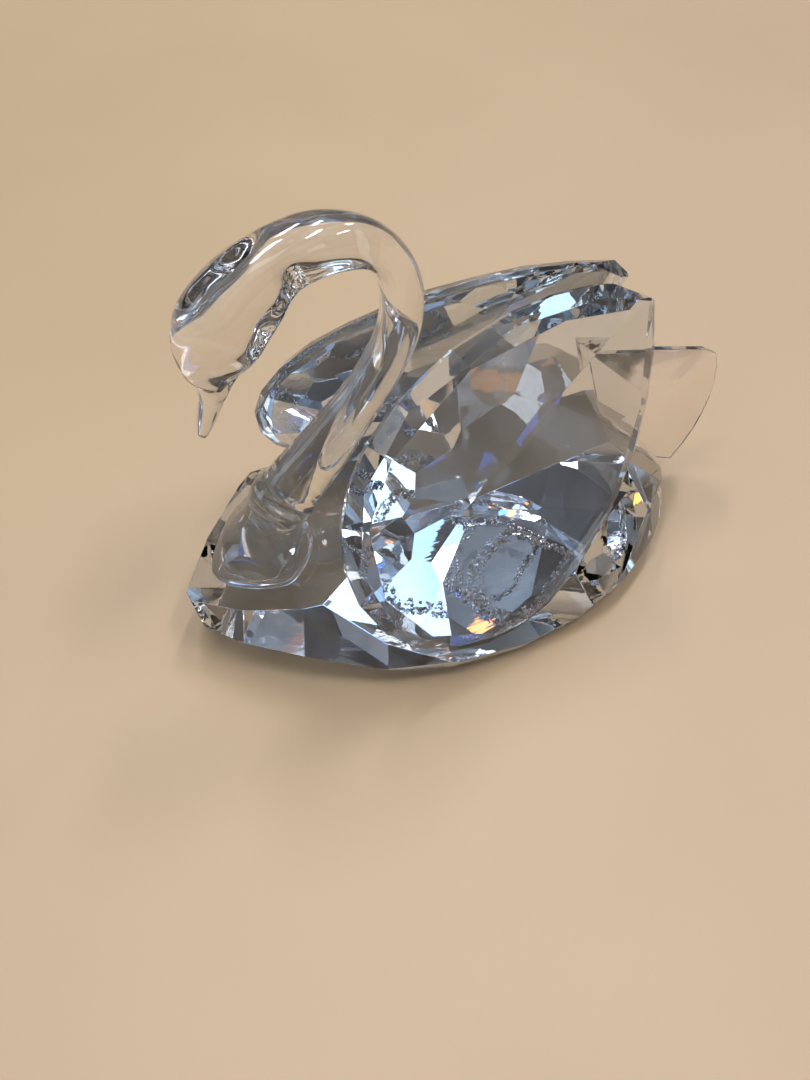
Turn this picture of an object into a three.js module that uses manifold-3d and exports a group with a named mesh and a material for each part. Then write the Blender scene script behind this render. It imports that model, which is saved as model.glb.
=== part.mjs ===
// Cut-crystal swan figurine: a faceted body, two faceted wings, a leaf-shaped tail plate and a
// hand-drawn neck and head, held together by thin clear glue lines.
// Millimetres, +Z up. The swan faces -Y, and its left side is +X. The origin lies under the middle
// of the swan's bounding box, on the surface that it stands on.

import * as THREE from "three";
import { mergeVertices } from "three/addons/utils/BufferGeometryUtils.js";
import Module from "manifold-3d";

const wasm = await Module();
wasm.setup();

// ---- Driving dimensions ----------------------------------------------------------------------

const GLUE_LINE = 0.3; // space between two stones that are glued together
const GLUE_CLEARANCE = 0.05; // from the glue's faces to the stones

const BODY = {
  halfWidth: 17,
  widestY: -0.9,
  noseY: -31,
  noseArcLength: 31, // from the widest station to where the two front arcs would meet
  sternY: 24.4,
  sternArcLength: 27.2,
  arcFacets: 5, // facets from the widest station to each end
  girdleZ: 2.7,
  bandLean: 10, // degrees that the side band leans in towards the top
  bevel: 28, // degrees that the bevel below the girdle leans in towards the base
  prowBevel: 48, // the same, on the two facets next to the nose
  prowRise: 1.1, // how much higher their girdle is
  noseTopZ: 6.6,
  chestSlope: 21, // degrees, rising from the nose to the back
  sternTopZ: 3.5,
  sternSlope: 45,
  topZ: 15,
  noseUndercut: 12, // degrees that the nose facet leans in towards the base
  sternUndercut: 8,
  // Two small facets on each shoulder of the stern: bearing off the stern, elevation and a point.
  shoulderFacets: [
    { turn: 42, elevation: 38, point: [7.5, 20.5, 6.6] },
    { turn: 32, elevation: 8, point: [5, 22.6, 4] },
  ],
};

const WING = {
  lean: 21.5, // degrees that the outer face leans in towards the top
  toeOut: 7, // degrees that the wings open towards the front
  rise: 32.5, // degrees that the long axis climbs towards the tip
  roundCentre: new THREE.Vector3(10.2, -3.6, 16.8), // middle of the round end, on the girdle
  roundRadius: 14.8,
  sideRadius: 33, // radius of the two arcs that meet at the tip
  tipBearing: 22, // direction that the blunt end of the tip faces
  tipReach: 24.3, // from the middle of the round end to the blunt end
  crownHeight: 1.5,
  crownSlope: 22, // of the large crown facets round the table
  crownEdgeSlope: 42, // of the small ones along the girdle
  crownEdgeRise: 0.55, // how far the small ones rise above the girdle
  girdle: 0.5,
  pavilionDepth: 5.2, // from the girdle to the lowest point of the back
  pavilionEdgeSlope: 42,
  breakReach: 8.2, // how far the inner back facets reach from the middle
  breakRise: 1, // from the main facets' meeting point to the inner facets' one
  tipEdgeBearing: 40, // direction of the first small facet beside the tip
  seatBearing: 246, // direction of the back facet that is glued to the body
  seatGrind: 0.8, // extra depth ground off that facet
  innerGap: 0.5, // from the tip's inner facet to the swan's middle plane
};

const TAIL = {
  halfThickness: 0.8,
  rimHalfThickness: 0.3,
  bevelWidth: 5.2,
  rearBulge: 1.4,
  rearPoints: 5,
};

const NECK_SIDES = 16;
const STATION_STEPS = 3; // rings from one neck station to the next

// ---- Small tools -----------------------------------------------------------------------------

const rad = THREE.MathUtils.degToRad;
const at = (x, y, z) => new THREE.Vector3(x, y, z);

// Unit vector at a bearing in the XY plane (0 is +X, 90 is +Y) and an elevation above it.
function bearing(azimuth, elevation) {
  const flat = Math.cos(rad(elevation));
  return at(flat * Math.cos(rad(azimuth)), flat * Math.sin(rad(azimuth)), Math.sin(rad(elevation)));
}

// A facet is a plane: what lies beyond it along its outward normal is ground away.
function facet(normal, point) {
  return { normal, offset: normal.dot(point) };
}

function sunk(plane, depth) {
  return { normal: plane.normal, offset: plane.offset - depth };
}

function mirrored(plane) {
  return { normal: plane.normal.clone().multiply(at(-1, 1, 1)), offset: plane.offset };
}

function solidOf(geometry) {
  const bare = geometry.index ? geometry.toNonIndexed() : geometry.clone();
  bare.deleteAttribute("normal");
  bare.deleteAttribute("uv");
  const merged = mergeVertices(bare, 1e-4);
  return new wasm.Manifold(
    new wasm.Mesh({
      numProp: 3,
      vertProperties: merged.attributes.position.array,
      triVerts: new Uint32Array(merged.index.array),
    }),
  );
}

function geometryOf(solid) {
  const mesh = solid.getMesh();
  const indexed = new THREE.BufferGeometry();
  indexed.setAttribute("position", new THREE.BufferAttribute(mesh.vertProperties, 3));
  indexed.setIndex(new THREE.BufferAttribute(mesh.triVerts, 1));
  const geometry = indexed.toNonIndexed();
  geometry.computeVertexNormals();
  return geometry;
}

// A stone starts as a block and is ground down to its facets.
function grind(block, facets) {
  let stone = solidOf(block);
  for (const { normal, offset } of facets) {
    stone = stone.trimByPlane([-normal.x, -normal.y, -normal.z], -offset);
  }
  return stone;
}

function mirroredGeometry(geometry) {
  const copy = geometry.clone();
  const place = copy.attributes.position;
  for (let i = 0; i < place.count; i += 3) {
    const corner = [0, 1, 2].map((k) => at(place.getX(i + k), -place.getY(i + k), place.getZ(i + k)));
    place.setXYZ(i, ...corner[0]);
    place.setXYZ(i + 1, ...corner[2]);
    place.setXYZ(i + 2, ...corner[1]);
  }
  copy.computeVertexNormals();
  return copy;
}

function named(name, geometry, material) {
  const mesh = new THREE.Mesh(geometry, material);
  mesh.name = name;
  return mesh;
}

// ---- Materials -------------------------------------------------------------------------------

function crystal() {
  return new THREE.MeshStandardMaterial({
    color: 0xe9eef3,
    roughness: 0.02,
    metalness: 0,
    transparent: true,
    opacity: 0.35,
  });
}

function clearGlue() {
  return new THREE.MeshStandardMaterial({ color: 0xf3f1ea, roughness: 0.3, metalness: 0 });
}

// ---- Wings -----------------------------------------------------------------------------------

// The wing's own frame: X along its length towards the tip, Y across it, Z out of its face.
// The origin is the middle of the round end, on the girdle's upper edge.
const WING_OUT = bearing(WING.toeOut, WING.lean);
const WING_BACK = bearing(WING.toeOut + 90, 0);
const WING_UP = new THREE.Vector3().crossVectors(WING_OUT, WING_BACK);
const WING_LENGTHWISE = WING_BACK.clone()
  .multiplyScalar(Math.cos(rad(WING.rise)))
  .addScaledVector(WING_UP, Math.sin(rad(WING.rise)));
const WING_ACROSS = new THREE.Vector3().crossVectors(WING_OUT, WING_LENGTHWISE);
const WING_FRAME = new THREE.Matrix4()
  .makeBasis(WING_LENGTHWISE, WING_ACROSS, WING_OUT)
  .setPosition(WING.roundCentre);

// Where the pear outline's tangent faces the given bearing.
function pearPoint(azimuth, z) {
  const outward = bearing(azimuth, 0);
  if (outward.x < 0) return outward.multiplyScalar(WING.roundRadius).setZ(z);
  const side = Math.sign(outward.y);
  const arcCentre = at(0, side * (WING.roundRadius - WING.sideRadius), 0);
  return outward.multiplyScalar(WING.sideRadius).add(arcCentre).setZ(z);
}

// Main facets, one on the crown and one on the back for each bearing. Those of the back meet at the
// culet.
const SIDE_BEARINGS = [46, 62, 86];
const ROUND_BEARINGS = [360 - WING.seatBearing, 147, 180, 213, WING.seatBearing];
const MAIN_BEARINGS = [
  ...SIDE_BEARINGS,
  ...ROUND_BEARINGS,
  ...SIDE_BEARINGS.map((azimuth) => 360 - azimuth).reverse(),
];
const CULET = at(0, 0, -WING.girdle - WING.pavilionDepth);

// A back facet that runs level at the given bearing, through a point on the axis and one further out.
function backFacet(azimuth, middle, outer) {
  const along = bearing(azimuth + 90, 0);
  const normal = new THREE.Vector3().subVectors(outer, middle).cross(along).normalize();
  return facet(normal.z < 0 ? normal : normal.negate(), outer);
}

function mainFacet(azimuth) {
  return backFacet(azimuth, CULET, pearPoint(azimuth, -WING.girdle));
}

// A flatter inner facet across the ridge between two main facets.
function innerFacet(azimuth, nextAzimuth) {
  const ridge = mainFacet(azimuth).normal.cross(mainFacet(nextAzimuth).normal);
  ridge.multiplyScalar((Math.sign(ridge.z) * WING.breakReach) / Math.hypot(ridge.x, ridge.y));
  const middle = CULET.clone().setZ(CULET.z + WING.breakRise);
  const outer = ridge.add(CULET);
  return backFacet(THREE.MathUtils.radToDeg(Math.atan2(outer.y, outer.x)), middle, outer);
}

// The back facet that is glued to the body is ground a little deeper than the others.
function seatFacet() {
  return sunk(mainFacet(WING.seatBearing), WING.seatGrind);
}

// Two small facets stand between each pair of main facets, on the crown, girdle and back.
function edgeBearings() {
  const bearings = [];
  MAIN_BEARINGS.slice(1).forEach((next, i) => {
    const span = next - MAIN_BEARINGS[i];
    bearings.push(MAIN_BEARINGS[i] + span / 4, MAIN_BEARINGS[i] + (3 * span) / 4);
  });
  return [WING.tipEdgeBearing, ...bearings, 360 - WING.tipEdgeBearing];
}

function wingGeometry() {
  const facets = [facet(at(0, 0, 1), at(0, 0, WING.crownHeight)), seatFacet()];
  for (const azimuth of edgeBearings()) {
    const top = pearPoint(azimuth, 0);
    const bottom = pearPoint(azimuth, -WING.girdle);
    facets.push(facet(bearing(azimuth, 90 - WING.crownEdgeSlope), top));
    facets.push(facet(bearing(azimuth, 0), top));
    facets.push(facet(bearing(azimuth, WING.pavilionEdgeSlope - 90), bottom));
  }
  MAIN_BEARINGS.forEach((azimuth, i) => {
    facets.push(facet(bearing(azimuth, 90 - WING.crownSlope), pearPoint(azimuth, WING.crownEdgeRise)));
    facets.push(mainFacet(azimuth));
    facets.push(innerFacet(azimuth, MAIN_BEARINGS[(i + 1) % MAIN_BEARINGS.length]));
  });
  const bluntEnd = bearing(WING.tipBearing, 0);
  facets.push(facet(bluntEnd, bluntEnd.clone().multiplyScalar(WING.tipReach)));
  facets.push(tipFacet());
  const blockLength = 4 * WING.roundRadius;
  return geometryOf(grind(new THREE.BoxGeometry(blockLength, blockLength, blockLength), facets));
}

// The inner side of the tip is ground parallel to the swan's middle plane.
function tipFacet() {
  const middle = facet(at(-1, 0, 0), at(WING.innerGap, 0, 0));
  const normal = at(-WING_LENGTHWISE.x, -WING_ACROSS.x, -WING_OUT.x);
  return { normal, offset: middle.offset + WING.roundCentre.x };
}

function placeWing(mesh, side) {
  const mirror = at(side, 1, 1);
  const frame = new THREE.Matrix4().makeBasis(
    WING_LENGTHWISE.clone().multiply(mirror),
    WING_ACROSS.clone().multiply(mirror).multiplyScalar(side),
    WING_OUT.clone().multiply(mirror),
  );
  mesh.quaternion.setFromRotationMatrix(frame);
  mesh.position.copy(WING.roundCentre).multiply(mirror);
}

// The wing's glued back facet, in the swan's frame, facing down and in.
function wingSeat() {
  const local = seatFacet();
  const point = local.normal.clone().multiplyScalar(local.offset).applyMatrix4(WING_FRAME);
  return facet(local.normal.clone().transformDirection(WING_FRAME), point);
}

// ---- Body ------------------------------------------------------------------------------------

const CHEST = facet(bearing(-90, 90 - BODY.chestSlope), at(0, BODY.noseY, BODY.noseTopZ));
const STERN = facet(bearing(90, 90 - BODY.sternSlope), at(0, BODY.sternY, BODY.sternTopZ));

// The upward-facing plane on the body that a wing is glued to.
function bodySeat() {
  const wing = wingSeat();
  return sunk({ normal: wing.normal.clone().negate(), offset: -wing.offset }, GLUE_LINE);
}

// Side facets follow two arcs on each side, from the widest station to the nose and the stern.
function arcFacets(side, end, arcLength) {
  const radius = (BODY.halfWidth ** 2 + arcLength ** 2) / (2 * BODY.halfWidth);
  const sweep = THREE.MathUtils.radToDeg(Math.asin(arcLength / radius));
  const arcCentre = at(side * (BODY.halfWidth - radius), BODY.widestY, BODY.girdleZ);
  const facets = [];
  for (let i = 0; i < BODY.arcFacets; i += 1) {
    const turn = (sweep * (i + 0.5)) / BODY.arcFacets;
    const azimuth = side > 0 ? end * turn : 180 - end * turn;
    const point = bearing(azimuth, 0).multiplyScalar(radius).add(arcCentre);
    const nextToNose = end < 0 && i >= BODY.arcFacets - 2;
    if (nextToNose) point.z += BODY.prowRise;
    facets.push(facet(bearing(azimuth, BODY.bandLean), point));
    facets.push(facet(bearing(azimuth, nextToNose ? -BODY.prowBevel : -BODY.bevel), point));
  }
  return facets;
}

function bodyGeometry() {
  const seat = bodySeat();
  const facets = [
    facet(at(0, 0, -1), at(0, 0, 0)),
    facet(at(0, 0, 1), at(0, 0, BODY.topZ)),
    facet(bearing(-90, -BODY.noseUndercut), at(0, BODY.noseY, BODY.noseTopZ)),
    facet(bearing(90, -BODY.sternUndercut), at(0, BODY.sternY, BODY.sternTopZ)),
    CHEST,
    STERN,
    seat,
    mirrored(seat),
  ];
  for (const side of [1, -1]) {
    facets.push(...arcFacets(side, -1, BODY.noseArcLength));
    facets.push(...arcFacets(side, 1, BODY.sternArcLength));
    for (const { turn, elevation, point } of BODY.shoulderFacets) {
      facets.push(facet(bearing(90 - side * turn, elevation), at(side * point[0], point[1], point[2])));
    }
  }
  const block = new THREE.BoxGeometry(4 * BODY.halfWidth, 4 * BODY.halfWidth, 4 * BODY.halfWidth);
  return geometryOf(grind(block, facets));
}

// ---- Tail ------------------------------------------------------------------------------------

// The leaf's side view: its root lies along the body's stern slope, between the wings.
const TAIL_ROOT = [at(0, 25.2, 0), at(0, 13.2, 0)].map(({ y }) => {
  const raised = { normal: STERN.normal, offset: STERN.offset + GLUE_LINE };
  return new THREE.Vector2(y, (raised.offset - raised.normal.y * y) / raised.normal.z);
});
const TAIL_TOP = new THREE.Vector2(11.5, 23.8);
const TAIL_SHOULDER = new THREE.Vector2(28.7, 17.9);
const TAIL_CORNER = new THREE.Vector2(30.4, 16.7);
const TAIL_REAR = new THREE.Vector2(31, 14.8);
const TAIL_LOW = new THREE.Vector2(27.2, 2.1);

function bulgedArc(from, to, bulge, count) {
  const chord = new THREE.Vector2().subVectors(to, from);
  const outward = new THREE.Vector2(chord.y, -chord.x).normalize();
  return Array.from({ length: count }, (_, i) => {
    const t = (i + 1) / (count + 1);
    return from.clone().addScaledVector(chord, t).addScaledVector(outward, bulge * 4 * t * (1 - t));
  });
}

function tailOutline() {
  return [
    TAIL_ROOT[0],
    TAIL_LOW,
    ...bulgedArc(TAIL_LOW, TAIL_REAR, TAIL.rearBulge, TAIL.rearPoints),
    TAIL_REAR,
    TAIL_CORNER,
    TAIL_SHOULDER,
    TAIL_TOP,
    TAIL_ROOT[1],
  ];
}

// Each edge of the outline gets a rim facet and a sloping facet on both faces; the root has none.
function tailGeometry() {
  const outline = tailOutline();
  const slope = Math.atan2(TAIL.halfThickness - TAIL.rimHalfThickness, TAIL.bevelWidth);
  const facets = [
    facet(at(1, 0, 0), at(TAIL.halfThickness, 0, 0)),
    facet(at(-1, 0, 0), at(-TAIL.halfThickness, 0, 0)),
  ];
  outline.forEach((start, i) => {
    const end = outline[(i + 1) % outline.length];
    const outward = at(0, end.y - start.y, start.x - end.x).normalize();
    const rim = at(0, start.x, start.y);
    facets.push(facet(outward, rim));
    if (i === outline.length - 1) return;
    for (const side of [1, -1]) {
      const normal = outward.clone().multiplyScalar(Math.sin(slope)).setX(side * Math.cos(slope));
      facets.push(facet(normal, rim.clone().setX(side * TAIL.rimHalfThickness)));
    }
  });
  const blockSide = 4 * TAIL_REAR.x;
  return geometryOf(grind(new THREE.BoxGeometry(blockSide, blockSide, blockSide), facets));
}

// ---- Neck and head ---------------------------------------------------------------------------

// Stations from the foot to the tip of the beak: y and z of the middle, the direction that the
// neck runs there (degrees from +Y towards +Z), half its depth to the front and to the back, half
// its width, and how far its front is pinched to a point (0 to 1).
const FOOT_DIRECTION = 90 + BODY.chestSlope;
const FOOT_Y = -22.3;
const FOOT_Z = (CHEST.offset + GLUE_LINE - CHEST.normal.y * FOOT_Y) / CHEST.normal.z;
const STATIONS = [
  [FOOT_Y, FOOT_Z, FOOT_DIRECTION, 5.7, 4.6, 5.5, 0.4],
  [FOOT_Y - 0.2, FOOT_Z + 0.7, FOOT_DIRECTION, 6.0, 4.8, 5.9, 0.4],
  [FOOT_Y - 0.1, FOOT_Z + 1.9, FOOT_DIRECTION - 5, 5.0, 4.3, 5.2, 0.25],
  [-22.0, 13.2, 97, 3.6, 3.6, 3.9, 0.08],
  [-21.2, 14.5, 75, 2.8, 2.8, 2.9, 0],
  [-20.2, 15.9, 56, 3.25, 3.2, 3.25, 0],
  [-18.9, 17.4, 49, 2.95, 2.95, 2.95, 0],
  [-17.3, 19.1, 48, 2.75, 2.75, 2.8, 0],
  [-15.2, 21.3, 49, 2.55, 2.55, 2.6, 0],
  [-11.3, 26.0, 53, 2.1, 2.1, 2.2, 0],
  [-9.1, 29.3, 63, 2.05, 2.05, 2.1, 0],
  [-7.5, 32.9, 80, 2.05, 2.05, 2.1, 0],
  [-7.2, 37.1, 99, 1.95, 1.95, 2.05, 0],
  [-8.5, 40.8, 121, 1.85, 1.85, 2.1, 0],
  [-11.2, 43.2, 147, 2.15, 2.15, 2.35, 0],
  [-14.9, 44.2, 174, 2.6, 2.55, 2.7, 0],
  [-18.4, 43.6, 203, 2.75, 2.75, 2.95, 0],
  [-21.2, 41.9, 222, 3.75, 3.35, 3.4, 0],
  [-23.6, 39.3, 241, 3.9, 3.9, 3.8, 0],
  [-24.7, 36.9, 256, 3.65, 3.65, 3.6, 0],
  [-25.1, 34.5, 266, 2.7, 2.7, 2.8, 0],
  [-25.2, 32.8, 266, 1.65, 1.65, 1.9, 0],
  [-25.6, 31.0, 258, 1.1, 1.1, 1.25, 0],
  [-26.3, 28.9, 251, 0.8, 0.8, 0.9, 0],
  [-26.9, 27.3, 250, 0.42, 0.42, 0.5, 0],
];

function catmullRom(before, from, to, after, t) {
  return from.map((value, k) => {
    const spread = 2 * before[k] - 5 * value + 4 * to[k] - after[k];
    const bend = 3 * value - before[k] - 3 * to[k] + after[k];
    return value + 0.5 * t * (to[k] - before[k] + t * (spread + t * bend));
  });
}

function smoothStations() {
  const last = STATIONS.length - 1;
  const rings = [];
  for (let i = 0; i < last; i += 1) {
    const four = [Math.max(i - 1, 0), i, i + 1, Math.min(i + 2, last)].map((k) => STATIONS[k]);
    for (let step = 0; step < STATION_STEPS; step += 1) {
      rings.push(catmullRom(...four, step / STATION_STEPS));
    }
  }
  rings.push(STATIONS[last]);
  return rings;
}

function ringPoints([y, z, direction, front, back, halfWidth, pinch]) {
  const forward = at(0, -Math.sin(rad(direction)), Math.cos(rad(direction)));
  return Array.from({ length: NECK_SIDES }, (_, k) => {
    const turn = (2 * Math.PI * k) / NECK_SIDES;
    const reach = Math.cos(turn) > 0 ? front : back;
    const across = halfWidth * Math.sin(turn) * (1 - pinch * Math.max(Math.cos(turn), 0));
    return at(across, y, z).addScaledVector(forward, reach * Math.cos(turn));
  });
}

// A closed skin over rings of points, with a flat fan at each end.
function loft(rings) {
  const sides = rings[0].length;
  const points = rings.flat();
  const index = [];
  for (let r = 0; r + 1 < rings.length; r += 1) {
    for (let k = 0; k < sides; k += 1) {
      const a = r * sides + k;
      const b = r * sides + ((k + 1) % sides);
      index.push(a, b, b + sides, a, b + sides, a + sides);
    }
  }
  const end = (rings.length - 1) * sides;
  for (let k = 1; k + 1 < sides; k += 1) {
    index.push(0, k + 1, k);
    index.push(end, end + k, end + k + 1);
  }
  const geometry = new THREE.BufferGeometry().setFromPoints(points);
  geometry.setIndex(index);
  return geometry;
}

function neckGeometry() {
  const solid = solidOf(loft(smoothStations().map(ringPoints)));
  // The underside of the foot is ground flat along the chest.
  const under = { normal: CHEST.normal.clone().negate(), offset: -CHEST.offset - GLUE_LINE };
  const ground = solid.trimByPlane(
    [-under.normal.x, -under.normal.y, -under.normal.z],
    -under.offset,
  );
  return geometryOf(ground);
}

// ---- Glue ------------------------------------------------------------------------------------

const GLUE_STEPS = 12; // straight edges along each curve of a film's outline
const LEAF_BELLY = 0.2; // how far the leaf's widest place is from its middle, in half lengths

function leafOutline({ halfLength, halfWidth }) {
  const leaf = new THREE.Shape();
  leaf.moveTo(-halfLength, 0);
  leaf.quadraticCurveTo(-halfLength * LEAF_BELLY, -2 * halfWidth, halfLength, 0);
  leaf.quadraticCurveTo(-halfLength * LEAF_BELLY, 2 * halfWidth, -halfLength, 0);
  return leaf;
}

// A round drop with a pointed end.
function dropOutline({ radius, tip }) {
  const tangent = Math.acos(radius / tip);
  const drop = new THREE.Shape();
  drop.absarc(0, 0, radius, tangent, -tangent, false);
  drop.lineTo(tip, 0);
  return drop;
}

// A thin film of glue: an outline in its own XY plane, as thick as the glue line allows.
function glueFilm(outline) {
  const depth = GLUE_LINE - 2 * GLUE_CLEARANCE;
  const options = { depth, bevelEnabled: false, curveSegments: GLUE_STEPS };
  return new THREE.ExtrudeGeometry(outline, options).translate(0, 0, -depth / 2);
}

// Lays a film on a plane: its middle at the given point and its length along the given direction.
function laid(mesh, plane, point, along) {
  const across = new THREE.Vector3().crossVectors(plane.normal, along).normalize();
  const length = new THREE.Vector3().crossVectors(across, plane.normal);
  mesh.quaternion.setFromRotationMatrix(new THREE.Matrix4().makeBasis(length, across, plane.normal));
  mesh.position.copy(point).addScaledVector(plane.normal, plane.offset - plane.normal.dot(point));
  return mesh;
}

function raised(plane) {
  return sunk(plane, -GLUE_LINE / 2);
}

const WING_GLUE = { outline: dropOutline({ radius: 5, tip: 7.6 }), point: at(11.6, -1.5, 8) };
const NECK_GLUE = {
  outline: leafOutline({ halfLength: 4.2, halfWidth: 4 }),
  point: at(0, FOOT_Y, FOOT_Z),
};
const TAIL_GLUE = {
  outline: leafOutline({ halfLength: 5.6, halfWidth: 0.75 }),
  point: at(0, 18.4, 10),
};

function glue(name, { outline, point }, plane, along, side) {
  const film = named(name, glueFilm(outline), clearGlue());
  return laid(film, plane, point.clone().multiply(at(side, 1, 1)), along);
}

// ---- The swan --------------------------------------------------------------------------------

const swan = new THREE.Group();

swan.add(named("body", bodyGeometry(), crystal()));
swan.add(named("neck_and_head", neckGeometry(), crystal()));
swan.add(named("tail", tailGeometry(), crystal()));

const leftWing = wingGeometry();
const rightWing = mirroredGeometry(leftWing);
for (const [name, geometry, side] of [
  ["left_wing", leftWing, 1],
  ["right_wing", rightWing, -1],
]) {
  const wing = named(name, geometry, crystal());
  placeWing(wing, side);
  swan.add(wing);
}

const seat = raised(bodySeat());
swan.add(glue("left_wing_glue", WING_GLUE, seat, at(0, 1, 0), 1));
swan.add(glue("right_wing_glue", WING_GLUE, mirrored(seat), at(0, 1, 0), -1));
swan.add(glue("neck_glue", NECK_GLUE, raised(CHEST), at(0, 1, 0), 1));
swan.add(glue("tail_glue", TAIL_GLUE, raised(STERN), at(0, -1, 1), 1));

export default swan;
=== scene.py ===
import math
import random

import bmesh
import bpy
import numpy as np
from mathutils import Matrix, Vector


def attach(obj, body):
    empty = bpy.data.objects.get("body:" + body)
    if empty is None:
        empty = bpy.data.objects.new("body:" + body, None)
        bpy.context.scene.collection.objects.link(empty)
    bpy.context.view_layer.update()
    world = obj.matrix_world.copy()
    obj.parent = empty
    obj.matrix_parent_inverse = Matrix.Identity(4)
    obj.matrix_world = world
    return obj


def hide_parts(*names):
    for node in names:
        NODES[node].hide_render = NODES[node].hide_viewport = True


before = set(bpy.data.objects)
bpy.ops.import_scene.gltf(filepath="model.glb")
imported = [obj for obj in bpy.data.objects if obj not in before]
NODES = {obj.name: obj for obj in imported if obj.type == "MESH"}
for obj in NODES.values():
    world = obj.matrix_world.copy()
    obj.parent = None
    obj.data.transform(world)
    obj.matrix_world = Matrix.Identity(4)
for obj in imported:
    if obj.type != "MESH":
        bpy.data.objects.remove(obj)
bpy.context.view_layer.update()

MM = 0.001
BODY = "root"

# ---- Camera ----------------------------------------------------------------------------------

CAMERA_PLACE = Vector((81.73, -45.15, 104.37)) * MM
CAMERA_PITCH = math.radians(48.13)
CAMERA_AZIMUTH = math.radians(64.89)
CAMERA_LENS = 41.667
SENSOR = 36.0


def add_camera():
    right = Vector((math.cos(CAMERA_AZIMUTH), math.sin(CAMERA_AZIMUTH), 0))
    forward = Vector((
        -math.sin(CAMERA_AZIMUTH) * math.cos(CAMERA_PITCH),
        math.cos(CAMERA_AZIMUTH) * math.cos(CAMERA_PITCH),
        -math.sin(CAMERA_PITCH),
    ))
    up = right.cross(forward)
    data = bpy.data.cameras.new("camera")
    data.lens = CAMERA_LENS
    data.sensor_width = SENSOR
    data.clip_start = 0.005
    data.clip_end = 50
    camera = bpy.data.objects.new("camera", data)
    bpy.context.scene.collection.objects.link(camera)
    turn = Matrix((right, up, -forward)).transposed().to_4x4()
    camera.matrix_world = Matrix.Translation(CAMERA_PLACE) @ turn
    bpy.context.scene.camera = camera


# ---- Node helpers ----------------------------------------------------------------------------


def new_material(name):
    material = bpy.data.materials.new(name)
    material.use_nodes = True
    tree = material.node_tree
    return material, tree, tree.nodes["Principled BSDF"]


def node(tree, kind, **values):
    """Adds a node; each value goes to the input of that name, or else to the node's property."""
    made = tree.nodes.new(kind)
    for key, value in values.items():
        if key in made.inputs:
            made.inputs[key].default_value = value
        else:
            setattr(made, key, value)
    return made


def wire(tree, start, end):
    tree.links.new(start, end)


def object_coordinates(tree):
    return node(tree, "ShaderNodeTexCoord").outputs["Object"]


def noise(tree, scale, detail=3.0, distortion=0.0, stretch=(1, 1, 1)):
    mapping = node(tree, "ShaderNodeMapping")
    mapping.inputs["Scale"].default_value = stretch
    wire(tree, object_coordinates(tree), mapping.inputs["Vector"])
    made = node(tree, "ShaderNodeTexNoise", Scale=scale, Detail=detail, Distortion=distortion)
    wire(tree, mapping.outputs["Vector"], made.inputs["Vector"])
    return made.outputs["Fac"]


def ramp(tree, source, stops):
    """Turns a value into a colour, by (place, colour) stops."""
    made = node(tree, "ShaderNodeValToRGB")
    while len(made.color_ramp.elements) < len(stops):
        made.color_ramp.elements.new(0.5)
    for element, (place, colour) in zip(made.color_ramp.elements, stops):
        element.position = place
        element.color = (*colour, 1)
    wire(tree, source, made.inputs["Fac"])
    return made.outputs["Color"]


def span(tree, source, low, high, start, end):
    """Maps start..end onto low..high."""
    made = node(tree, "ShaderNodeMapRange")
    made.inputs["From Min"].default_value = start
    made.inputs["From Max"].default_value = end
    made.inputs["To Min"].default_value = low
    made.inputs["To Max"].default_value = high
    wire(tree, source, made.inputs["Value"])
    return made.outputs["Result"]


def bump(tree, height, distance, strength):
    made = node(tree, "ShaderNodeBump", Distance=distance, Strength=strength)
    wire(tree, height, made.inputs["Height"])
    return made.outputs["Normal"]


def mix_colours(tree, kind, factor, first, second):
    """Mixes two colours; each of the three values is a number, a colour or a socket."""
    made = node(tree, "ShaderNodeMix", data_type="RGBA", blend_type=kind)
    colours = [socket for socket in made.inputs if socket.type == "RGBA"]
    for socket, value in zip([made.inputs["Factor"], *colours], [factor, first, second]):
        if isinstance(value, bpy.types.NodeSocket):
            wire(tree, value, socket)
        else:
            socket.default_value = value
    return next(socket for socket in made.outputs if socket.type == "RGBA")


# ---- Materials -------------------------------------------------------------------------------

CRYSTAL_IOR = 1.6
DRAWN_GLASS_IOR = 1.58
GLUE_IOR = 1.48
FILM_IOR = 1.12  # a stand-in, well below real adhesive's 1.5, so that the film hardly shows
# Darker than real clear crystal: the floor seen through the stones should look dim
STONE_TINTS = ((0.80, 0.86, 0.93), (0.87, 0.90, 0.94))
PLATE_TINTS = ((0.93, 0.92, 0.93), (0.99, 0.96, 0.96))
POLISH_DEPTH = 0.004 * MM
WAVE_DEPTH = 0.04 * MM
GRAIN_DEPTH = 0.06 * MM


def crystal_material(name, deep, light):
    """Polished lead crystal: flat facets with faint polishing lines and smudges."""
    material, tree, shader = new_material(name)
    shader.inputs["Transmission Weight"].default_value = 1
    shader.inputs["IOR"].default_value = CRYSTAL_IOR
    cloud = noise(tree, 90, 2)
    tint = ramp(tree, cloud, [(0.3, deep), (0.7, light)])
    wire(tree, tint, shader.inputs["Base Color"])
    smudge = span(tree, noise(tree, 260, 4, 0.6), 0, 0.02, 0.6, 0.8)
    wire(tree, smudge, shader.inputs["Roughness"])
    lines = noise(tree, 900, 2, 0.2, (1, 0.15, 1))
    wire(tree, bump(tree, lines, POLISH_DEPTH, 0.5), shader.inputs["Normal"])
    return material


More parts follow.
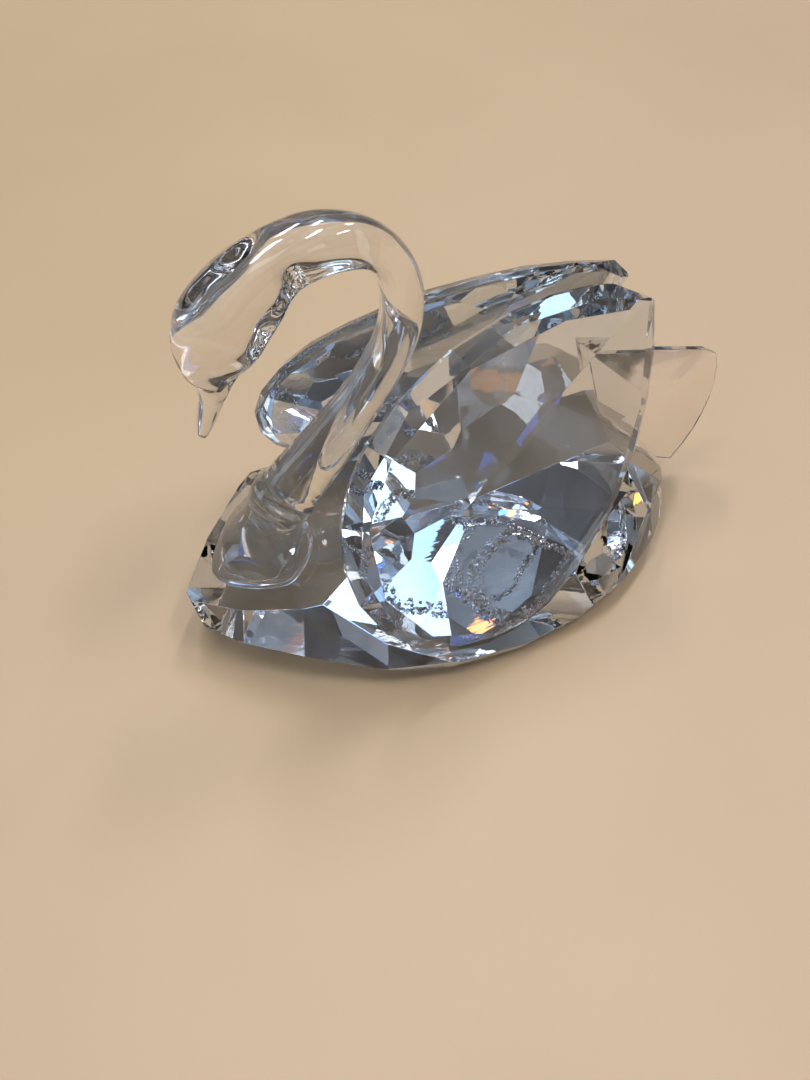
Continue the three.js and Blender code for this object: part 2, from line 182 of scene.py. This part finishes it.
def drawn_glass_material():
    """Fire-polished glass rod: no facets, soft drawing waves along the neck."""
    material, tree, shader = new_material("drawn_glass")
    shader.inputs["Transmission Weight"].default_value = 1
    shader.inputs["IOR"].default_value = DRAWN_GLASS_IOR
    cloud = noise(tree, 120, 2)
    tint = ramp(tree, cloud, [(0.3, (0.95, 0.965, 0.985)), (0.7, (0.99, 0.985, 0.98))])
    wire(tree, tint, shader.inputs["Base Color"])
    smudge = span(tree, noise(tree, 240, 4, 0.8), 0, 0.025, 0.55, 0.8)
    wire(tree, smudge, shader.inputs["Roughness"])
    waves = noise(tree, 330, 1, 0.4)
    wire(tree, bump(tree, waves, WAVE_DEPTH, 0.5), shader.inputs["Normal"])
    return material


def glue_material():
    """Clear cured adhesive: a little cloudy, with fine grain."""
    material, tree, shader = new_material("clear_glue")
    shader.inputs["Transmission Weight"].default_value = 0.85
    shader.inputs["IOR"].default_value = GLUE_IOR
    grain = noise(tree, 2600, 3)
    tint = ramp(tree, grain, [(0.35, (0.8, 0.82, 0.84)), (0.65, (0.97, 0.97, 0.96))])
    wire(tree, tint, shader.inputs["Base Color"])
    wire(tree, span(tree, grain, 0.05, 0.35, 0.3, 0.7), shader.inputs["Roughness"])
    wire(tree, bump(tree, grain, GRAIN_DEPTH, 0.6), shader.inputs["Normal"])
    return material


def film_material():
    """Clear adhesive squeezed thin between two stones, with a few cloudy patches."""
    material, tree, shader = new_material("clear_glue_film")
    shader.inputs["Transmission Weight"].default_value = 1
    shader.inputs["IOR"].default_value = FILM_IOR
    patches = noise(tree, 700, 3, 0.5)
    tint = ramp(tree, patches, [(0.4, (0.97, 0.98, 0.99)), (0.75, (0.88, 0.9, 0.92))])
    wire(tree, tint, shader.inputs["Base Color"])
    wire(tree, span(tree, patches, 0.0, 0.15, 0.5, 0.8), shader.inputs["Roughness"])
    return material


def joined_face_material():
    """A stand-in for one side of a glued joint: light crosses this face unbent, and the face
    that it is glued to still bends it."""
    material = bpy.data.materials.new("joined_face")
    material.use_nodes = True
    tree = material.node_tree
    tree.nodes.clear()
    clear = node(tree, "ShaderNodeBsdfTransparent")
    haze = ramp(tree, noise(tree, 500, 2), [(0.3, (0.93, 0.95, 0.97)), (0.7, (1, 1, 1))])
    wire(tree, haze, clear.inputs["Color"])
    output = node(tree, "ShaderNodeOutputMaterial")
    wire(tree, clear.outputs["BSDF"], output.inputs["Surface"])
    return material


def join_faces(piece, material, normal, tolerance):
    """Gives the joined-face material to the faces that look that way, to within so many degrees."""
    piece.data.materials.append(material)
    slot = len(piece.data.materials) - 1
    limit = math.cos(math.radians(tolerance))
    for face in piece.data.polygons:
        if face.normal.dot(normal) > limit:
            face.material_index = slot


def floor_material():
    """A plain pale table top, hardly mottled."""
    material, tree, shader = new_material("pale_table")
    cloud = noise(tree, 14, 3)
    colour = ramp(tree, cloud, [(0.3, (0.45, 0.315, 0.18)), (0.7, (0.49, 0.35, 0.205))])
    wire(tree, colour, shader.inputs["Base Color"])
    shader.inputs["Roughness"].default_value = 0.5
    return material


# ---- Neck and head ---------------------------------------------------------------------------

# Everything in this section is in millimetres until it becomes a vertex
CHEST_SLOPE = 21
CHEST_POINT = Vector((0, -31, 6.6))
GLUE_LINE = 0.3
CHEST_TURN = math.radians(CHEST_SLOPE)
CHEST_NORMAL = Vector((0, -math.sin(CHEST_TURN), math.cos(CHEST_TURN)))
CHEST_OFFSET = CHEST_NORMAL.dot(CHEST_POINT)
FOOT_Y = -22.3
FOOT_Z = (CHEST_OFFSET + GLUE_LINE - CHEST_NORMAL.y * FOOT_Y) / CHEST_NORMAL.z
FOOT_DIRECTION = 90 + CHEST_SLOPE
# y and z of the middle, the direction that the neck runs (degrees from +Y towards +Z), half its
# depth to the front and to the back, half its width, and how far its front is pinched (0 to 1)
STATIONS = np.array([
    [FOOT_Y, FOOT_Z, FOOT_DIRECTION, 5.7, 4.6, 5.5, 0.4],
    [FOOT_Y - 0.2, FOOT_Z + 0.7, FOOT_DIRECTION, 6.0, 4.8, 5.9, 0.4],
    [FOOT_Y - 0.1, FOOT_Z + 1.9, FOOT_DIRECTION - 5, 5.0, 4.3, 5.2, 0.25],
    [-22.0, 13.2, 97, 3.6, 3.6, 3.9, 0.08],
    [-21.2, 14.5, 75, 2.8, 2.8, 2.9, 0],
    [-20.2, 15.9, 56, 3.25, 3.2, 3.25, 0],
    [-18.9, 17.4, 49, 2.95, 2.95, 2.95, 0],
    [-17.3, 19.1, 48, 2.75, 2.75, 2.8, 0],
    [-15.2, 21.3, 49, 2.55, 2.55, 2.6, 0],
    [-11.3, 26.0, 53, 2.1, 2.1, 2.2, 0],
    [-9.1, 29.3, 63, 2.05, 2.05, 2.1, 0],
    [-7.5, 32.9, 80, 2.05, 2.05, 2.1, 0],
    [-7.2, 37.1, 99, 1.95, 1.95, 2.05, 0],
    [-8.5, 40.8, 121, 1.85, 1.85, 2.1, 0],
    [-11.2, 43.2, 147, 2.15, 2.15, 2.35, 0],
    [-14.9, 44.2, 174, 2.6, 2.55, 2.7, 0],
    [-18.4, 43.6, 203, 2.75, 2.75, 2.95, 0],
    [-21.2, 41.9, 222, 3.75, 3.35, 3.4, 0],
    [-23.6, 39.3, 241, 3.9, 3.9, 3.8, 0],
    [-24.7, 36.9, 256, 3.65, 3.65, 3.6, 0],
    [-25.1, 34.5, 266, 2.7, 2.7, 2.8, 0],
    [-25.2, 32.8, 266, 1.65, 1.65, 1.9, 0],
    [-25.6, 31.0, 258, 1.1, 1.1, 1.25, 0],
    [-26.3, 28.9, 251, 0.8, 0.8, 0.9, 0],
    [-26.9, 27.3, 250, 0.42, 0.42, 0.5, 0],
])
RING_SIDES = 64
RING_STEPS = 10  # rings from one station to the next
FLAT_STATIONS = (13.0, 14.2, 18.6, 20.4)  # the inner side flattens, stays flat and rounds again
FLATNESS = 0.75
SHOULDER_SHARPNESS = 2.6
FLAT_REACH = 0.93
# Where the hot glass was gripped and pulled: station, angle from the inner side (degrees), reach
# along the neck (stations), reach round it (degrees) and depth (a share of the radius)
GRIPS = [
    (20.4, 62, 1.1, 38, 0.20),
    (20.4, -62, 1.1, 38, 0.20),
    (20.9, 150, 0.8, 45, 0.10),
    (20.9, -150, 0.8, 45, 0.10),
    (19.3, 88, 0.7, 30, -0.05),
    (19.3, -88, 0.7, 30, -0.05),
    (19.6, 8, 1.0, 50, 0.10),
    (17.1, 0, 1.3, 48, -0.16),
    (15.9, 0, 0.8, 60, 0.06),
    (4.6, 30, 0.5, 70, 0.07),
    (5.9, -20, 0.45, 90, 0.045),
    (21.6, 92, 1.0, 32, -0.10),
    (21.6, -92, 1.0, 32, -0.10),
    (22.4, 90, 1.6, 22, 0.12),
    (22.4, -90, 1.6, 22, 0.12),
]


def catmull_rom(points, steps):
    """A smooth curve through the points, with so many steps from each to the next."""
    out = []
    last = len(points) - 1
    for i in range(last):
        a, b, c, d = (points[k] for k in (max(i - 1, 0), i, i + 1, min(i + 2, last)))
        for s in range(steps):
            t = s / steps
            cubic = 3 * b - a - 3 * c + d
            square = 2 * a - 5 * b + 4 * c - d
            out.append(b + 0.5 * t * (c - a + t * (square + t * cubic)))
    out.append(points[last])
    return out


def mesh_object(name, vertices, faces, smooth=True):
    mesh = bpy.data.meshes.new(name)
    mesh.from_pydata([tuple(v) for v in vertices], [], faces)
    mesh.validate()
    if smooth:
        mesh.shade_smooth()
    made = bpy.data.objects.new(name, mesh)
    bpy.context.scene.collection.objects.link(made)
    return made


def dent(place, centre, reach):
    """1 at the centre of a dent, and 0 from its edge outwards."""
    t = min(abs(place - centre) / reach, 1)
    return (1 - t * t) ** 2


def flat_share(station):
    start, full, end, stop = FLAT_STATIONS
    rise = min(max((station - start) / (full - start), 0), 1)
    fall = min(max((stop - station) / (stop - end), 0), 1)
    return FLATNESS * min(rise, fall)


def flattened(cosine, share):
    """The inner side's reach: round, or nearly flat up to two shoulders."""
    flat = math.tanh(SHOULDER_SHARPNESS * cosine) * FLAT_REACH
    return cosine + (flat - cosine) * share


def grip_scale(station, angle):
    scale = 1
    for centre, turn, along, round_reach, depth in GRIPS:
        off = (angle - turn + 180) % 360 - 180
        scale -= depth * dent(station, centre, along) * dent(off, 0, round_reach)
    return scale


def neck_piece():
    """Foot, collar, neck, head and beak in one smooth body, ground flat under the foot."""
    rings = catmull_rom(STATIONS, RING_STEPS)
    vertices = []
    for r, (y, z, direction, front, back, half_width, pinch) in enumerate(rings):
        turn = math.radians(direction)
        forward = Vector((0, -math.sin(turn), math.cos(turn)))
        for k in range(RING_SIDES):
            angle = 2 * math.pi * k / RING_SIDES
            scale = grip_scale(r / RING_STEPS, math.degrees(angle))
            inner = math.cos(angle) > 0
            reach = scale * (front if inner else back)
            lean = math.cos(angle)
            if inner:
                lean = flattened(lean, flat_share(r / RING_STEPS))
            narrowing = 1 - pinch * max(math.cos(angle), 0)
            across = scale * half_width * math.sin(angle) * narrowing
            point = Vector((across, y, z)) + forward * (reach * lean)
            lift = CHEST_OFFSET + GLUE_LINE - CHEST_NORMAL.dot(point)
            if lift > 0:
                point += CHEST_NORMAL * lift
            vertices.append(point * MM)
    faces = []
    for r in range(len(rings) - 1):
        for k in range(RING_SIDES):
            a = r * RING_SIDES + k
            b = r * RING_SIDES + (k + 1) % RING_SIDES
            faces.append((a, b, b + RING_SIDES, a + RING_SIDES))
    faces.append(tuple(reversed(range(RING_SIDES))))
    start = (len(rings) - 1) * RING_SIDES
    faces.append(tuple(range(start, start + RING_SIDES)))
    return mesh_object("drawn_neck_and_head", vertices, faces)


# ---- Glue ------------------------------------------------------------------------------------


class Leaf:
    """A flat CAD glue leaf: its outline in order round its middle, and its plane."""

    def __init__(self, node_name):
        points = np.array([v.co for v in NODES[node_name].data.vertices], float)
        self.centre = (points.max(0) + points.min(0)) / 2
        axes = np.linalg.svd(points - points.mean(0))[2]
        self.normal = axes[2] if axes[2][2] > 0 else -axes[2]
        heights = (points - self.centre) @ self.normal
        self.centre = self.centre + self.normal * (heights.max() + heights.min()) / 2
        self.half_depth = (heights.max() - heights.min()) / 2
        top = np.unique(points[heights > heights.mean()].round(7), axis=0)
        top = top - self.normal * self.half_depth
        flat = (top - self.centre) @ axes[:2].T
        self.outline = top[np.argsort(np.arctan2(flat[:, 1], flat[:, 0]))]

    def along(self, share):
        """The outline's point at a share of its length."""
        ends = np.roll(self.outline, -1, axis=0)
        lengths = np.linalg.norm(ends - self.outline, axis=1)
        reach = (share % 1) * lengths.sum()
        for start, end, length in zip(self.outline, ends, lengths):
            if reach <= length:
                return start + (end - start) * reach / length
            reach -= length
        return self.outline[0]

    def inside(self, share, inset):
        """A point that far in from the outline, towards the middle."""
        rim = self.along(share)
        inward = self.centre - rim
        return rim + inward * min(inset / np.linalg.norm(inward), 1)


def finish_piece(piece, material, slot, *nodes):
    """Gives a new piece its material, hides the CAD nodes that it stands for, and hangs it on its
    body. The slot argument is not used.
    """
    set_material(piece, material)
    if nodes:
        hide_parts(*nodes)
    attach(piece, BODY)
    return piece


FILM_POINTS = 96
FILM_INSET = 0.25 * MM
FILM_ROUNDING = 0.10 * MM
FILM_WAVES = (5, 9, 14, 23, 37)  # waves round the rim


def glue_film(leaf, name, seed):
    """The spread film: a plate with a slightly uneven, rounded rim."""
    chance = random.Random(seed)
    waves = [
        (count, chance.uniform(0, 2 * math.pi), chance.uniform(0.02, 0.07) * MM)
        for count in FILM_WAVES
    ]
    rim = []
    for i in range(FILM_POINTS):
        share = i / FILM_POINTS
        wave = sum(
            size * math.sin(2 * math.pi * count * share + start) for count, start, size in waves
        )
        rim.append((share, FILM_INSET + wave))
    rings = [(FILM_ROUNDING, -1.0), (0, -0.6), (0, 0.6), (FILM_ROUNDING, 1.0)]
    vertices = [
        leaf.inside(share, inset + extra) + leaf.normal * leaf.half_depth * height
        for extra, height in rings
        for share, inset in rim
    ]
    faces = []
    for r in range(len(rings) - 1):
        for k in range(FILM_POINTS):
            a = r * FILM_POINTS + k
            b = r * FILM_POINTS + (k + 1) % FILM_POINTS
            faces.append((a, b, b + FILM_POINTS, a + FILM_POINTS))
    faces.append(tuple(reversed(range(FILM_POINTS))))
    last = (len(rings) - 1) * FILM_POINTS
    faces.append(tuple(range(last, last + FILM_POINTS)))
    film = mesh_object(name, vertices, faces, smooth=False)
    outward_faces(film.data)
    return film


def outward_faces(mesh):
    shape = bmesh.new()
    shape.from_mesh(mesh)
    bmesh.ops.recalc_face_normals(shape, faces=shape.faces)
    shape.to_mesh(mesh)
    shape.free()


def unit_ball():
    """The points and faces of a ball of radius 1."""
    shape = bmesh.new()
    bmesh.ops.create_icosphere(shape, subdivisions=2, radius=1)
    points = [v.co.copy() for v in shape.verts]
    faces = [tuple(v.index for v in face.verts) for face in shape.faces]
    shape.free()
    return points, faces


GRAIN_COUNT = 420
GRAIN_BAND = 1.9 * MM  # width of the grainy border, at its front
GRAIN_FRONT = 5 * MM  # how far forward the border reaches its full width


def glue_grains(leaf, name, seed):
    """Bubbles and grains that the press of the stones drove out to the film's rim."""
    chance = random.Random(seed)
    ball_points, ball_faces = unit_ball()
    vertices, faces = [], []
    tilt = Vector(leaf.normal).to_track_quat("Z", "Y").to_matrix().to_4x4()
    for i in range(GRAIN_COUNT):
        share = (i + chance.uniform(-0.4, 0.4)) / GRAIN_COUNT
        rim = leaf.along(share)
        forward = (leaf.centre[1] - rim[1]) / GRAIN_FRONT
        width = GRAIN_BAND * (0.45 + 0.55 * max(0, min(forward, 1)))
        inset = width * chance.random() ** 1.3
        place = Vector(leaf.inside(share, inset))
        radius = chance.uniform(0.09, 0.27) * MM
        flat = min(leaf.half_depth / radius, 1)
        size = Matrix.Diagonal((radius, radius * chance.uniform(0.7, 1.2), radius * flat, 1))
        spin = Matrix.Rotation(chance.uniform(0, math.pi), 4, "Z")
        matrix = Matrix.Translation(place) @ tilt @ spin @ size
        start = len(vertices)
        vertices.extend(matrix @ point for point in ball_points)
        faces.extend(tuple(start + k for k in face) for face in ball_faces)
    return mesh_object(name, vertices, faces)


def bead(name, path, radii, sides=10):
    """A closed loop of squeezed-out glue, as thick as radii says at each point of its path."""
    count = len(path)
    vertices = []
    for i, point in enumerate(path):
        ahead = (path[(i + 1) % count] - path[i - 1]).normalized()
        side = ahead.cross(CHEST_NORMAL).normalized()
        over = side.cross(ahead)
        for k in range(sides):
            angle = 2 * math.pi * k / sides
            vertices.append(point + (side * math.cos(angle) + over * math.sin(angle)) * radii[i])
    faces = []
    for i in range(count):
        for k in range(sides):
            a, b = i * sides + k, i * sides + (k + 1) % sides
            c, d = (i + 1) % count * sides + (k + 1) % sides, (i + 1) % count * sides + k
            faces.append((a, b, c, d))
    piece = mesh_object(name, vertices, faces)
    outward_faces(piece.data)
    return piece


BEAD_OFFSET = 0.08  # millimetres out from the foot's edge
BEAD_HEIGHT = 0.16
BEAD_RADIUS = 0.15


def foot_bead():
    """The thin fillet of glue round the foot of the neck."""
    y, z, direction, front, back, half_width, pinch = STATIONS[0]
    turn = math.radians(direction)
    forward = Vector((0, -math.sin(turn), math.cos(turn)))
    path, radii = [], []
    for k in range(RING_SIDES):
        angle = 2 * math.pi * k / RING_SIDES
        reach = BEAD_OFFSET + (front if math.cos(angle) > 0 else back)
        narrowing = 1 - pinch * max(math.cos(angle), 0)
        across = (BEAD_OFFSET + half_width) * math.sin(angle) * narrowing
        point = Vector((across, y, z)) + forward * (reach * math.cos(angle))
        point += CHEST_NORMAL * (CHEST_OFFSET + BEAD_HEIGHT - CHEST_NORMAL.dot(point))
        path.append(point * MM)
        uneven = 0.025 * math.sin(5 * angle) + 0.015 * math.sin(11 * angle + 1)
        radii.append((BEAD_RADIUS + uneven) * MM)
    return bead("neck_glue_bead", path, radii)


# ---- Stones ----------------------------------------------------------------------------------


ARRIS_WIDTH = 0.06 * MM


def arris(stone):
    """Takes the razor edge off a stone's arrises, as polishing does."""
    weld = stone.modifiers.new("weld", "WELD")
    weld.merge_threshold = 0.002 * MM
    join = stone.modifiers.new("join_facets", "DECIMATE")
    join.decimate_type = "DISSOLVE"
    join.angle_limit = math.radians(0.5)
    cut = stone.modifiers.new("arris", "BEVEL")
    cut.width = ARRIS_WIDTH
    cut.segments = 2
    cut.limit_method = "ANGLE"
    cut.angle_limit = math.radians(3)
    cut.use_clamp_overlap = True
    cut.harden_normals = True
    cut.material = 0


def set_material(piece, material):
    piece.data.materials.clear()
    piece.data.materials.append(material)


# ---- Stage and light -------------------------------------------------------------------------


FLOOR_Z = -0.05 * MM  # the air film under the base
FLOOR_HALF = 3
BACKDROP = (0.56, 0.52, 0.46, 1)  # what the camera sees behind the floor, in place of the room
# How the room's colour changes with height, from 0.2 below level to straight up
ROOM_HEIGHTS = (-0.2, 1)
ROOM_STOPS = [
    (0.0, (0.16, 0.12, 0.085)),
    (0.17, (0.13, 0.105, 0.085)),
    (0.40, (0.12, 0.115, 0.11)),
    (0.62, (0.13, 0.14, 0.155)),
    (0.74, (0.22, 0.27, 0.33)),
    (1.0, (0.34, 0.40, 0.48)),
]
DARK_WALL = (-0.985, 0.174, 0.0)  # where the room is darkest: azimuth 170, level
DARK_WALL_STOPS = [(0.45, (1, 1, 1)), (0.65, (0.42, 0.37, 0.33))]
# Dark and light patches, as furniture and curtains make
PATCH_SCALE = 5.2
PATCH_STOPS = [(0.40, (0.22, 0.19, 0.17)), (0.49, (0.75, 0.76, 0.78)), (0.60, (2.2, 2.3, 2.4))]
BLUE_EDGE = (0.03, 0.20, 1.0)
WARM_EDGE = (1.0, 0.34, 0.06)
CARD_DISTANCE = 1.5
# name, azimuth and elevation (degrees), width and height (metres), radiance, colour
CARDS = [
    ("back_window", 128, 53, (0.62, 0.5), 2.6, (0.52, 0.78, 1.0)),
    ("back_window_blue_edge", 128, 42.5, (0.62, 0.035), 6, BLUE_EDGE),
    ("back_window_warm_edge", 128, 63.5, (0.62, 0.035), 5, WARM_EDGE),
    ("rear_window_blue_edge", 163, 49, (0.05, 0.2), 5, BLUE_EDGE),
    ("front_window", 247, 17, (0.5, 0.75), 2.0, (0.55, 0.80, 1.0)),
    ("side_card", 20, 22, (0.35, 0.35), 1.4, (0.85, 0.93, 1.0)),
    ("near_card", 335, 58, (0.5, 0.28), 2.2, (0.9, 0.96, 1.0)),
]
CEILING = 1.5
LAMPS = ((0.03, -0.26), (0.29, 0.32), (0.49, 1.06), (-0.36, 0.45), (-0.52, 0.02), (-0.3, 1.2))
LAMP_DIRECTION = math.radians(139)
LAMP_LENGTH = 0.6
FRINGE_SHIFT = 0.1
# A tube lamp and the coloured strips beside it, which stand in for dispersion: name, shift,
# width, radiance, colour
LAMP_STRIPS = [
    ("lamp", 0, 0.13, 27, (0.97, 0.98, 1.0)),
    ("lamp_blue", -FRINGE_SHIFT, 0.05, 4, (0.04, 0.22, 1.0)),
    ("lamp_warm", FRINGE_SHIFT, 0.05, 4, (1.0, 0.30, 0.05)),
]


def add_floor():
    corners = [(-1, -1), (1, -1), (1, 1), (-1, 1)]
    vertices = [(x * FLOOR_HALF, y * FLOOR_HALF, FLOOR_Z) for x, y in corners]
    floor = mesh_object("floor", vertices, [(0, 1, 2, 3)], smooth=False)
    set_material(floor, floor_material())


def area_light(name, size, radiance, colour):
    """A rectangular light that looks equally bright however large it is."""
    data = bpy.data.lights.new(name, "AREA")
    data.shape = "RECTANGLE"
    data.size, data.size_y = size
    data.energy = radiance * math.pi * size[0] * size[1]
    data.color = colour
    light = bpy.data.objects.new(name, data)
    bpy.context.scene.collection.objects.link(light)
    return light


def add_card(name, azimuth, elevation, size, radiance, colour):
    """A window or card at an angle round the swan, which faces it."""
    light = area_light(name, size, radiance, colour)
    a, e = math.radians(azimuth), math.radians(elevation)
    level = math.cos(e)
    place = Vector((level * math.cos(a), level * math.sin(a), math.sin(e))) * CARD_DISTANCE
    light.location = place + Vector((0, 0, 0.02))
    light.rotation_euler = (-place).to_track_quat("-Z", "Y").to_euler()


def add_lamp(number, x, y):
    """A tube lamp on the ceiling with its coloured strips; x and y are in ceiling heights."""
    across = Vector((-math.sin(LAMP_DIRECTION), math.cos(LAMP_DIRECTION), 0))
    for name, shift, width, radiance, colour in LAMP_STRIPS:
        light = area_light(f"{name}_{number}", (LAMP_LENGTH, width), radiance, colour)
        light.location = Vector((x * CEILING, y * CEILING, CEILING)) + across * shift
        light.rotation_euler = (0, 0, LAMP_DIRECTION)


def add_room():
    """The room round the swan, which the glass reflects and bends."""
    world = bpy.data.worlds.new("studio")
    world.use_nodes = True
    tree = world.node_tree
    background = tree.nodes["Background"]
    direction = node(tree, "ShaderNodeTexCoord").outputs["Generated"]
    split = node(tree, "ShaderNodeSeparateXYZ")
    wire(tree, direction, split.inputs["Vector"])
    height = span(tree, split.outputs["Z"], 0, 1, *ROOM_HEIGHTS)
    walls = ramp(tree, height, ROOM_STOPS)
    facing = node(tree, "ShaderNodeVectorMath", operation="DOT_PRODUCT")
    wire(tree, direction, facing.inputs[0])
    facing.inputs[1].default_value = DARK_WALL
    walls = mix_colours(
        tree, "MULTIPLY", 1, walls, ramp(tree, facing.outputs["Value"], DARK_WALL_STOPS)
    )
    patches = node(tree, "ShaderNodeTexNoise", Scale=PATCH_SCALE, Detail=3.0)
    wire(tree, direction, patches.inputs["Vector"])
    walls = mix_colours(
        tree, "MULTIPLY", 1, walls, ramp(tree, patches.outputs["Fac"], PATCH_STOPS)
    )
    seen_by_camera = node(tree, "ShaderNodeLightPath").outputs["Is Camera Ray"]
    colour = mix_colours(tree, "MIX", seen_by_camera, walls, BACKDROP)
    wire(tree, colour, background.inputs["Color"])
    background.inputs["Strength"].default_value = 1.0
    bpy.context.scene.world = world


def add_lights():
    add_room()
    for card in CARDS:
        add_card(*card)
    for number, (x, y) in enumerate(LAMPS):
        add_lamp(number, x, y)


# ---- The swan --------------------------------------------------------------------------------

add_camera()
crystal = crystal_material("cut_crystal", *STONE_TINTS)
plate = crystal_material("crystal_plate", *PLATE_TINTS)
glass = drawn_glass_material()
glue = glue_material()
film = film_material()
joined = joined_face_material()

for name in ("body", "left_wing", "right_wing", "tail"):
    set_material(NODES[name], plate if name == "tail" else crystal)
    arris(NODES[name])
for side in ("left", "right"):
    seat_normal = Vector(Leaf(f"{side}_wing_glue").normal)
    join_faces(NODES[f"{side}_wing"], joined, -seat_normal, 1)

neck = finish_piece(neck_piece(), glass, "drawn_glass", "neck_and_head")
join_faces(neck, joined, -CHEST_NORMAL, 3)

for side, seed in (("left", 3), ("right", 8)):
    cad_film = f"{side}_wing_glue"
    leaf = Leaf(cad_film)
    finish_piece(glue_film(leaf, f"{cad_film}_film", seed), film, "glue", cad_film)
    finish_piece(glue_grains(leaf, f"{cad_film}_grains", seed), glue, "glue")
finish_piece(glue_film(Leaf("neck_glue"), "neck_glue_film", 5), film, "glue", "neck_glue")
finish_piece(foot_bead(), glass, "glue")
finish_piece(glue_film(Leaf("tail_glue"), "tail_glue_film", 6), film, "glue", "tail_glue")

add_floor()
add_lights()

scene = bpy.context.scene
scene.cycles.max_bounces = 24
scene.cycles.transmission_bounces = 24
scene.cycles.glossy_bounces = 12
scene.cycles.sample_clamp_indirect = 8
scene.view_settings.view_transform = "Standard"
